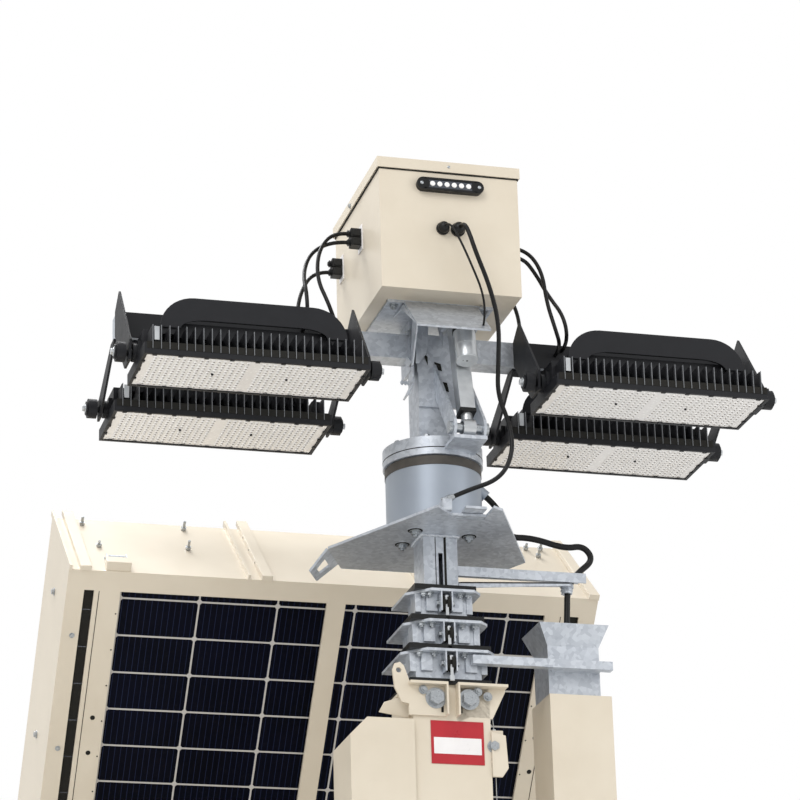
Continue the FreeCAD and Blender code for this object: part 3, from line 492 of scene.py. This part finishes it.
# Control box: lamp bar, glands, plugs, lid gap, rivet and screws
bar = {"half": 58, "low": 3086, "high": 3106, "middle": 3096, "leds": 6, "ledPitch": 16.8}
lampBar = bmesh.new()
slab(lampBar, at(-bar["half"], -215, bar["low"]), at(bar["half"], -212, bar["high"]))
dress(lampBar, "lampWindow", darkGlass, "head", bevel=0.003)
rimBar = bmesh.new()
for low in (bar["low"] - 5, bar["high"]):
    slab(rimBar, at(-62, -216, low), at(62, -211, low + 5))
for side in (-1, 1):
    rodOn(rimBar, at(side * 63, -211, bar["middle"]), at(side * 63, -216, bar["middle"]), 0.0150, 28)
dress(rimBar, "lampRim", blackPlastic, "head", bevel=0.0008)
leds = bmesh.new()
for i in range(bar["leds"]):
    u = (i - (bar["leds"] - 1) / 2) * bar["ledPitch"]
    ball(leds, at(u, -215.4, bar["middle"]), 0.0062, (1, 0.45, 1))
dress(leds, "lampLeds", ledLens, "head")
smallSteel = bmesh.new()
for side in (-1, 1):
    ball(smallSteel, at(side * 67, -216, bar["middle"]), 0.0042, (1, 0.5, 1))
    bolt(smallSteel, at(side * 166.5, 40, 3143), (side, 0, 0), 0.008)
ball(smallSteel, at(0, -205.3, 3145), 0.0036, (1, 0.4, 1))
dress(smallSteel, "boxScrews", boltSteel, "head")
# Painted shade: dark strips where the lid meets the box
lidGap = bmesh.new()
for side in (-1, 1):
    slab(lidGap, at(side * 162.2 - 1, -201.5, 3128), at(side * 162.2 + 1, 201.5, 3132.5))
slab(lidGap, at(-162, -201.6, 3129), at(162, -199.8, 3132.5))
dress(lidGap, "lidSeal", shadowGap, "head")
glands = bmesh.new()
for x, size in ((-18, 0.0130), (17, 0.0145)):
    ball(glands, at(x, -212, 2993), size, (1, 1.0, 1), rings=12)
    rodOn(glands, at(x, -200, 2993), at(x, -206, 2993), size + 0.002, 24)
plugs = {"rows": (-30, 145), "levels": (3040, 3018), "rings": 3}
for side in (-1, 1):
    for y in plugs["rows"]:
        for z in plugs["levels"]:
            rodOn(glands, at(side * 180, y, z), at(side * 196, y, z), 0.0075, 20, tip=0.0055)
            for k in range(plugs["rings"]):
                ring = 183 + k * 4
                rodOn(glands, at(side * ring, y, z), at(side * (ring + 2), y, z), 0.0088, 20)
            slab(glands, at(side * 175 - 9, y - 13.5, z - 8), at(side * 175 + 9, y + 13.5, z + 8))
dress(glands, "cableGlands", blackPlastic, "head", bevel=0.0012)
strips = bmesh.new()
for side in (-1, 1):
    for y in plugs["rows"]:
        slab(strips, at(side * 162.6 - 1.4, y - 17, 2998), at(side * 162.6 + 1.4, y + 19, 3060))
dress(strips, "plugStrips", signWhite, "head", bevel=0.0004)

# Bracket under the box, strap beside the column, bolts on the flange and under the stay plate
ironHead = bmesh.new()
for x in (-112, 98):
    for y in (-112, 112):
        bolt(ironHead, at(x, y, 2837), (0, 0, -1), 0.015, stud=0.003)
for side in (-1, 1):
    bolt(ironHead, at(side * 54, 6, 2790), (side, 0, 0), 0.020)
bolt(ironHead, at(-54, -36, 2806), (-1, 0, 0), 0.012, stud=0.004)
bolt(ironHead, at(84, -133, 2838), (1, -0.3, -0.4), 0.009)
dress(ironHead, "bracketBolts", boltSteel, "head", bevel=0.0003)
gusset = bmesh.new()
flat(gusset, spotsAt((-92, -128, 2836), (-92, -42, 2836), (-92, -118, 2826), (-92, -222, 2752)), 0.003)
flat(gusset, spotsAt((-50, -60, 2836), (-50, -26, 2724), (-50, -46, 2724), (-50, -112, 2836)), 0.004)
flat(gusset, spotsAt((-47, -54, 2836), (-14, -54, 2836), (-20, -54, 2752), (-40, -54, 2726),
                     (-47, -54, 2726)), 0.003)
flat(gusset, spotsAt((4, -50, 2836), (10, -50, 2836), (10, -100, 2836), (10, -74, 2760)), 0.003)
dress(gusset, "bracketGussets", galvanised, "head", bevel=0.0006)
strap = bmesh.new()
strapWide = 34
bends = ((-62, -30, 2750), (-52, -44, 2728), (-54, -46, 2680), (-68, -44, 2652))
for a, b in zip(bends, bends[1:]):
    flat(strap, spotsAt(a, b, (b[0], b[1] + strapWide, b[2]), (a[0], a[1] + strapWide, a[2])), 0.004)
rodOn(strap, at(-78, -30, 2686), at(-56, -30, 2686), 0.003, 12)
for x in (-76, -68, -61):
    rodOn(strap, at(x, -30, 2686), at(x + 4, -30, 2686), 0.0062, 6)
dress(strap, "stopStrap", galvanised, "turntable", bevel=0.0006)
ironTurn = bmesh.new()
flange = {"bolts": 8, "circle": 98, "first": 22.5, "top": 2534}
for k in range(flange["bolts"]):
    a = math.radians(flange["first"] + k * 360 / flange["bolts"])
    spot = at(flange["circle"] * math.cos(a), flange["circle"] * math.sin(a), flange["top"])
    bolt(ironTurn, spot, (0, 0, 1), 0.013, stud=0.002)
for side in (-1, 1):
    for near, far, radius in ((37, 45, 0.0145), (13, 31, 0.0108)):
        rodOn(ironTurn, at(34 + side * near, -170, 2532), at(34 + side * far, -170, 2532), radius, 24)
dress(ironTurn, "turntableBolts", boltSteel, "turntable", bevel=0.0004)
groove = bmesh.new()
rodOn(groove, at(0, 0, 2469), at(0, 0, 2489.5), 0.1082, 96)
dress(groove, "slewSeal", sealBrown, "mast_4")
# Painted shade: a dark ring standing for the groove between the flange halves
parting = bmesh.new()
rodOn(parting, at(0, 0, 2507), at(0, 0, 2509), 0.1124, 96)
dress(parting, "flangeLine", shadowGap, "turntable")
# Painted shade: flat dark patches for the shaded openings under the column's bracket
openingShade = bmesh.new()
for y, outline in ((-41.7, ((-29, 2760), (-16, 2748), (-16, 2728))),
                   (-41.7, ((-1, 2737), (14, 2733), (17, 2716), (3, 2718))),
                   (-47.8, ((7, 2689), (26, 2686), (30, 2664), (12, 2668)))):
    flat(openingShade, [at(x, y, z) for x, z in outline], 0.0006)
dress(openingShade, "columnOpenings", shadowGap, "turntable")
print("head dressed")

# Stay plate: folded pocket, bolts beneath, weld ticks at the mast
stayBolts = ((-62, -60), (66, -42), (-65, 38))
under = bmesh.new()
for x, y in stayBolts:
    bolt(under, at(x, y, 2325), (0, 0, -1), 0.017, stud=0.005)
rodOn(under, at(-33, -181, 2354.2), at(-14, -182.5, 2363.8), 0.0085, 6)
rodOn(under, at(-14, -182.5, 2363.8), at(-8, -182.9, 2366.8), 0.0068, 20)
dress(under, "stayBolts", boltSteel, "mast_4", bevel=0.0004)
# Painted shadow: dark discs round the stay bolts, wider than their washers
rings = bmesh.new()
for x, y in stayBolts:
    rodOn(rings, at(x, y, 2326), at(x, y, 2325), 0.0165, 28)
dress(rings, "stayWashers", shadowGap, "mast_4")
pocket = bmesh.new()
flat(pocket, spotsAt((-12, -172, 2333), (6, -156, 2333), (66, -160, 2333), (66, -176, 2333),
                     (4, -174, 2333)), 0.006)
slab(pocket, at(12, -206, 2334), at(60, -168, 2340))
# The weld round the mast, as beads at three heights in turn
weld = {"beads": 15, "top": 2325.0, "drop": 0.6, "radius": 0.0046}
for x0, y0, x1, y1 in ((-39, -41, 39, -41), (-41, -39, -41, 39), (41, -39, 41, 39)):
    for k in range(weld["beads"]):
        u = k / (weld["beads"] - 1)
        spot = at(x0 + (x1 - x0) * u, y0 + (y1 - y0) * u, weld["top"] - weld["drop"] * (k % 3))
        ball(pocket, spot, weld["radius"], (1.2, 1, 0.8), rings=5)
dress(pocket, "stayPocket", galvanised, "mast_4", bevel=0.0006)

# Collars: sheaves between their cheeks, bolts under them, side blocks
collarTable = (("mast_1", 2042, 102, 74), ("mast_2", 2111, 92, 63), ("mast_3", 2184, 82, 52))
sheave = {"in": 16, "down": 24, "rims": ((-9.5, -4.5, 0.0185), (-4.5, 0.5, 0.0150), (0.5, 8, 0.0185)),
          "pin": (-19, 18, 0.0045)}
for body, top, edge, tube in collarTable:
    y, z = sheave["in"] - edge, top - sheave["down"]
    # The sheaves are drawn in the painted shade of the gaps between the cheeks
    wheels = bmesh.new()
    for left, right, radius in sheave["rims"]:
        rodOn(wheels, at(left, y, z), at(right, y, z), radius, 32)
    dress(wheels, "sheave_" + body, shadowGap, body, bevel=0.0006)
    steel = bmesh.new()
    left, right, radius = sheave["pin"]
    rodOn(steel, at(left, y, z), at(right, y, z), radius, 16)
    bolt(steel, at(left + 5, y, z), (-1, 0, 0), 0.012)
    bolt(steel, at(right - 5, y, z), (1, 0, 0), 0.012)
    for x in (-edge + 34, -34, 34, edge - 30):
        bolt(steel, at(x, -edge + 18, top), (0, 0, -1), 0.0125, stud=0.003)
    dress(steel, "collarBolts_" + body, boltSteel, body, bevel=0.0003)
    blocks = bmesh.new()
    for side in (-1, 1):
        beside, front = side * (tube + 6), side * (tube - 24)
        slab(blocks, at(beside - 7, -tube - 2, top - 42), at(beside + 7, -tube + 36, top))
        slab(blocks, at(front - 13, -tube - 7, top - 40), at(front + 13, -tube - 1, top))
    dress(blocks, "padBlocks_" + body, galvanised, body, bevel=0.0008)
    ropes = bmesh.new()
    slab(ropes, at(-3.5, -edge + 2, top - 60), at(3.5, -edge + 5, top - 8))
    slab(ropes, at(-5, -edge, top - 66), at(5, -edge + 6, top - 54))
    dress(ropes, "ropeEnd_" + body, aluminium, body, bevel=0.0008)
seam = bmesh.new()
slab(seam, at(8, -40.2, 2206), at(13, -38.5, 2322))
slab(seam, at(-12, -40.0, 2206), at(-10.6, -38.8, 2322))
dress(seam, "mastSlot", shadowGap, "mast_4")
strut = bmesh.new()
flat(strut, spotsAt((41, -36, 2222), (41, -12, 2222), (300, -12, 2236), (300, -36, 2236)), 0.004)
flat(strut, spotsAt((41, -36, 2222), (300, -36, 2236), (300, -36, 2228), (41, -36, 2208)), 0.003)
rodOn(strut, at(299, -10, 2238), at(298.6, -10, 2230), 0.0165, 6)
rodOn(strut, at(298.6, -10, 2231), at(298.2, -10, 2216), 0.0125, 28)
rodOn(strut, at(298.4, -10, 2226), at(298.2, -10, 2222), 0.0138, 28)
dress(strut, "guideStrut", galvanised, "mast_4", bevel=0.0006)
print("mast head dressed")

# Fixed mast: big bolts, slots, seam, sign plate, hood screw, rope with its turnbuckle
cap = bmesh.new()
for x, z, size in ((-36, 1938, 0.030), (38, 1938, 0.030)):
    bolt(cap, at(x, -92, z), (0, -1, 0), size)
    rodOn(cap, at(x, -92, z), at(x, -100, z), size * 0.5, 28)
for x, z in ((-64, 1955), (58, 1956), (80, 1946)):
    bolt(cap, at(x, -93, z), (0, -1, 0), 0.013, stud=0.004)
bolt(cap, at(92, -86, 1838), (0, -1, 0), 0.019)
bolt(cap, at(-102, -56, 1848), (0, -1, 0), 0.010)
ball(cap, at(-100, -55.5, 1788), 0.007, (1, 0.4, 1))
rodOn(cap, at(92, -70, 1962), at(98, -70, 1880), 0.0011, 8)
rodOn(cap, at(98, -70, 1880), at(99, -70, 1846), 0.0045, 12)
rodOn(cap, at(99, -70, 1846), at(99, -70, 1600), 0.0011, 8)
dress(cap, "mastBolts", boltSteel, "trailer", bevel=0.0004)
slots = bmesh.new()
for x, z in ((-22, 1916), (20, 1916)):
    slab(slots, at(x - 2.6, -93, z - 9), at(x + 2.6, -91.4, z + 9))
slab(slots, at(-86.5, -87.2, 1560), at(-85.3, -86.0, 1886))
dress(slots, "mastSlots", shadowGap, "trailer")
capPlates = bmesh.new()
flat(capPlates, spotsAt((10, -86, 1971), (10, -86, 1892), (16, -86, 1888), (40, -86, 1899), (92, -86, 1899),
                        (122, -86, 1960), (122, -86, 1971)), -0.006)
flat(capPlates, spotsAt((86, -86, 1870), (118, -86, 1862), (122, -86, 1790), (108, -86, 1770),
                        (86, -86, 1770)), -0.006)
flat(capPlates, spotsAt((-88, -70, 1950), (-140, -50, 1936), (-150, -40, 1916), (-88, -60, 1900)), 0.006)
dress(capPlates, "mastBrackets", cream, "trailer", bevel=0.0012)
# The plate is left bare: a red ground and its white field
sign = bmesh.new()
slab(sign, at(-48, -87.6, 1795), at(70, -86, 1890))
dress(sign, "signPlate", signRed, "trailer", bevel=0.0004)
signField = bmesh.new()
slab(signField, at(-42, -88.1, 1817), at(64, -87.4, 1853))
dress(signField, "signField", signWhite, "trailer", bevel=0.0003)
print("fixed mast dressed")

# Actuator: end cap and bands of the motor, black wiper at the mouth of the tube
pinTop, pinLow = at(34, -105, 2812), at(34, -170, 2532)
down = (pinLow - pinTop).normalized()
front = Vector((0, down.z, -down.y))
motorAxis = pinTop + front * 0.046


def motorRing(bm, near, far, radius, sides=40, aside=0.0):
    # A disc on the motor's axis, from one distance down it to another
    shift = motorAxis + Vector((aside, 0, 0))
    rodOn(bm, shift + down * near, shift + down * far, radius, sides)


caps = bmesh.new()
motorRing(caps, 0.135, 0.1385, 0.0242)
motorRing(caps, 0.100, 0.1015, 0.0254)
dress(caps, "motorCap", aluminium, "actuator_tube", bevel=0.0008)
marks = bmesh.new()
motorRing(marks, 0.138, 0.1389, 0.0024, 14)
motorRing(marks, 0.138, 0.1389, 0.0013, 10, aside=-0.009)
motorRing(marks, 0.057, 0.064, 0.0262)
wiper = pinTop + down * 0.2475
half = Vector((0.0182, 0.0182, 0.0045))
slab(marks, wiper - half, wiper + half, Matrix.Rotation(-math.atan2(65, 280), 4, "X"))
dress(marks, "motorMarks", blackPlastic, "actuator_tube", bevel=0.0006)


def onArray(u, v, w):
    # u across, v down the slope and w away from the underside, in metres from the middle of the upper edge
    return upperEdge + Vector((u, v * math.cos(slope) + w * math.sin(slope),
                               w * math.cos(slope) - v * math.sin(slope)))


outOf = onArray(0, 0, 1) - onArray(0, 0, 0)
lieDown = Matrix.Rotation(-slope, 4, "X")


def plank(bm, low, high):
    # A block along the slope, given by two corners in its u, v, w
    size = Vector(high) - Vector(low)
    spot = onArray(*((Vector(low) + Vector(high)) / 2))
    slab(bm, spot - size / 2, spot + size / 2, lieDown)


ribs = bmesh.new()
for u in (-0.600, -0.183, 0.1905, 0.6005):
    plank(ribs, (u, -0.0126, -0.0045), (u + 0.025, 0.0, 0.3445))
plank(ribs, (-0.540, -0.022, 0.004), (-0.484, 0.0, 0.036))
dress(ribs, "arrayRibs", cream, "array", bevel=0.0008)
pegs = bmesh.new()
for u, w, long in ((-0.560, 0.285, 0.022), (-0.318, 0.290, 0.024), (-0.327, 0.165, 0.024),
                   (-0.538, 0.150, 0.016), (0.545, 0.255, 0.022), (0.525, 0.300, 0.018),
                   (0.562, 0.302, 0.018), (0.345, 0.290, 0.024)):
    rodOn(pegs, onArray(u, 0, w), onArray(u, -long, w - 0.004), 0.0032, 14)
    rodOn(pegs, onArray(u, -0.0015, w), onArray(u, -0.0085, w - 0.001), 0.0068, 6)
for u in (-0.60, 0.60):
    for k in range(6):
        bolt(pegs, onArray(u, 0.16 + k * 0.28, 0), -outOf, 0.008)
for u in (-0.6255, 0.6255):
    for k in range(5):
        bolt(pegs, onArray(u, 0.12 + k * 0.36, 0.16), (u, 0, 0), 0.012)
dress(pegs, "arrayPegs", boltSteel, "array", bevel=0.0003)
latch = bmesh.new()
plank(latch, (-0.536, -0.020, 0.036), (-0.488, -0.001, 0.039))
plank(latch, (-0.536, -0.003, 0.036), (-0.488, 0.0, 0.062))
for u in (-0.536, -0.491):
    plank(latch, (u, -0.020, 0.038), (u + 0.003, -0.001, 0.060))
rodOn(latch, onArray(-0.530, -0.012, 0.050), onArray(-0.494, -0.012, 0.050), 0.0078, 24)
rodOn(latch, onArray(-0.540, -0.012, 0.050), onArray(-0.484, -0.012, 0.050), 0.0035, 16)
dress(latch, "arrayLatch", galvanised, "array", bevel=0.0005)
edgeSlots = {"count": 18, "u": 0.5735, "first": 0.096, "pitch": 0.0911, "half": 0.0113}
darkBits = bmesh.new()
for u in (-0.5515, 0.5395):
    plank(darkBits, (u, 0.049, -0.0004), (u + 0.0016, 1.690, 0.001))
for side in (-1, 1):
    for v in (0.36, 0.448, 1.24, 1.33):
        rodOn(darkBits, onArray(side * 0.529, v, -0.0006), onArray(side * 0.529, v, 0.002), 0.0056, 18)
    for k in range(edgeSlots["count"]):
        u, v = side * 0.507, 0.102 + k * 0.0885
        rodOn(darkBits, onArray(u, v, -0.0006), onArray(u, v, 0.002), 0.0018, 10)
    u = side * edgeSlots["u"]
    plank(darkBits, (u - 0.0115, 0.048, 0.006), (u + 0.0115, 1.692, 0.0085))
for w in (0.25, 0.17, 0.09):
    rodOn(darkBits, onArray(-0.1833, -0.0065, w), onArray(-0.1823, -0.0065, w), 0.0022, 10)
dress(darkBits, "arrayShadows", shadowGap, "array")
slotLines = bmesh.new()
for side in (-1, 1):
    u = side * edgeSlots["u"]
    for k in range(edgeSlots["count"]):
        v = edgeSlots["first"] + k * edgeSlots["pitch"]
        plank(slotLines, (u - edgeSlots["half"], v, 0.0052), (u + edgeSlots["half"], v + 0.0022, 0.0062))
dress(slotLines, "slotLines", darkGlass, "array")
print("array dressed")

# Trailer: tread, hubs, nuts, tail lamps, handles, vents
wheel = {"x": 0.84, "y": 0.85, "axle": 0.33, "radius": 0.329, "treads": 44, "nuts": 5, "nutCircle": 0.054,
         "nutFace": (-0.854, 0.838), "hubEnd": 0.938}
for side, name in ((-1, "left"), (1, "right")):
    hub = Vector((side * wheel["x"], wheel["y"], wheel["axle"]))
    tread = bmesh.new()
    for k in range(wheel["treads"]):
        for band, shift in ((-0.036, 0.0), (0.036, 0.5)):
            spin = Matrix.Rotation((k + shift) * math.tau / wheel["treads"], 4, "X")
            spot = hub + Vector((band, 0, 0)) + spin @ Vector((0, 0, wheel["radius"]))
            size = Vector((0.060, 0.034, 0.005)) / 2
            slab(tread, spot - size, spot + size, spin)
    dress(tread, "tread_" + name, tyreRubber, "wheel_" + name)
    nuts = bmesh.new()
    outer = wheel["nutFace"][side > 0]
    for k in range(wheel["nuts"]):
        a = math.tau * k / wheel["nuts"]
        spot = (outer, hub.y + wheel["nutCircle"] * math.cos(a), hub.z + wheel["nutCircle"] * math.sin(a))
        bolt(nuts, spot, (side, 0, 0), 0.019, stud=0.004)
    rodOn(nuts, (outer, hub.y, hub.z), (side * wheel["hubEnd"], hub.y, hub.z), 0.029, 32)
    dress(nuts, "wheelNuts_" + name, boltSteel, "wheel_" + name, bevel=0.0005)
    handle = bmesh.new()
    x = side * 0.6135
    slab(handle, (x - 0.004, 1.66, 0.70), (x + 0.004, 1.78, 0.76))
    rodOn(handle, (x, 1.72, 0.73), (x + side * 0.014, 1.72, 0.73), 0.011, 24)
    dress(handle, "doorLock_" + name, blackPlastic, "door_" + name, bevel=0.001)
    vents = bmesh.new()
    for k in range(7):
        y = 0.60 + k * 0.035
        flat(vents, [(side * 0.590, y, 0.84), (side * 0.590, y, 0.90), (side * 0.596, y + 0.012, 0.90),
                     (side * 0.596, y + 0.012, 0.84)], 0.0015)
    dress(vents, "vents_" + name, cream, "trailer")
    lampRed = bmesh.new()
    slab(lampRed, (side * 0.47 - 0.09, 1.955, 0.45), (side * 0.47 + 0.09, 1.985, 0.51))
    dress(lampRed, "tailLamp_" + name, redLens, "trailer", bevel=0.003)
    seams = bmesh.new()
    slab(seams, (side * 0.5905 - 0.0008, 0.522, 0.536), (side * 0.5905 + 0.0008, 1.898, 0.540))
    dress(seams, "cabinetSeam_" + name, shadowGap, "trailer")


def crankOn(bm, x, y, foot, level, tip, along, radius=0.011):
    # A stem, the arm on it and the grip that stands at the end of the arm
    arm, along = Vector((x, y, level)), Vector(along)
    grip = arm + along * 0.106
    rodOn(bm, (x, y, foot), (x, y, level + 0.004), radius, 20)
    rodOn(bm, arm, arm + along * 0.110, 0.006, 16)
    rodOn(bm, grip - Vector((0, 0, 0.002)), (grip.x, grip.y, tip), 0.010, 20)


for name, x, y in (("front_left", -0.7, -0.59), ("front_right", 0.7, -0.59), ("rear_left", -0.7, 1.89),
                   ("rear_right", 0.7, 1.89)):
    crank = bmesh.new()
    crankOn(crank, x, y, 0.745, 0.808, 0.87, (0, 1, 0))
    dress(crank, "legCrank_" + name, galvanised, "leg_" + name, bevel=0.0008)
jockey = bmesh.new()
crankOn(jockey, 0.13, -1.64, 0.748, 0.766, 0.83, (1, 0, 0), radius=0.012)
dress(jockey, "jockeyCrank", galvanised, "jockey_leg", bevel=0.0008)
print("trailer dressed")

# A pale floor, and a sky that is pure white to the camera and weaker as a light
reach = 40
corners = [(-reach, -reach, 0), (reach, -reach, 0), (reach, reach, 0), (-reach, reach, 0)]
floorMesh = bpy.data.meshes.new("floor")
floorMesh.from_pydata(corners, [], [(0, 1, 2, 3)])
floor = bpy.data.objects.new("floor", floorMesh)
bpy.context.scene.collection.objects.link(floor)
floorMesh.materials.append(surface("floorPale", "EDEDEC", "EBEBEA", rough=0.9, grain=2, bump=0.05))

world = bpy.data.worlds.new("sky")
world.use_nodes = True
sky = world.node_tree
back = sky.nodes["Background"]
plain = sky.nodes.new("ShaderNodeBackground")
for ground, strength in ((back, 0.78), (plain, 1.0)):
    ground.inputs["Color"].default_value = (1.0, 1.0, 1.0, 1.0)
    ground.inputs["Strength"].default_value = strength
path = sky.nodes.new("ShaderNodeLightPath")
mixer = sky.nodes.new("ShaderNodeMixShader")
sky.links.new(path.outputs["Is Camera Ray"], mixer.inputs[0])
sky.links.new(back.outputs[0], mixer.inputs[1])
sky.links.new(plain.outputs[0], mixer.inputs[2])
sky.links.new(mixer.outputs[0], sky.nodes["World Output"].inputs["Surface"])
bpy.context.scene.world = world
for name, spot, aim, power, wide in (("key", (-3.6, -5.4, 7.2), (0, 0.4, 2.2), 230, 4.0),
                                     ("fill", (5.0, -4.0, 3.0), (0, 0.4, 2.0), 80, 4.0),
                                     ("overhead", (-1.4, 2.4, 7.2), (0, 0.6, 2.2), 290, 2.5)):
    light = bpy.data.lights.new(name, "AREA")
    light.energy = power
    light.size = wide
    holder = bpy.data.objects.new(name, light)
    holder.location = spot
    holder.rotation_euler = (Vector(aim) - Vector(spot)).to_track_quat("-Z", "Y").to_euler()
    bpy.context.scene.collection.objects.link(holder)
bpy.context.scene.view_settings.view_transform = "Standard"
print("camera and light set")
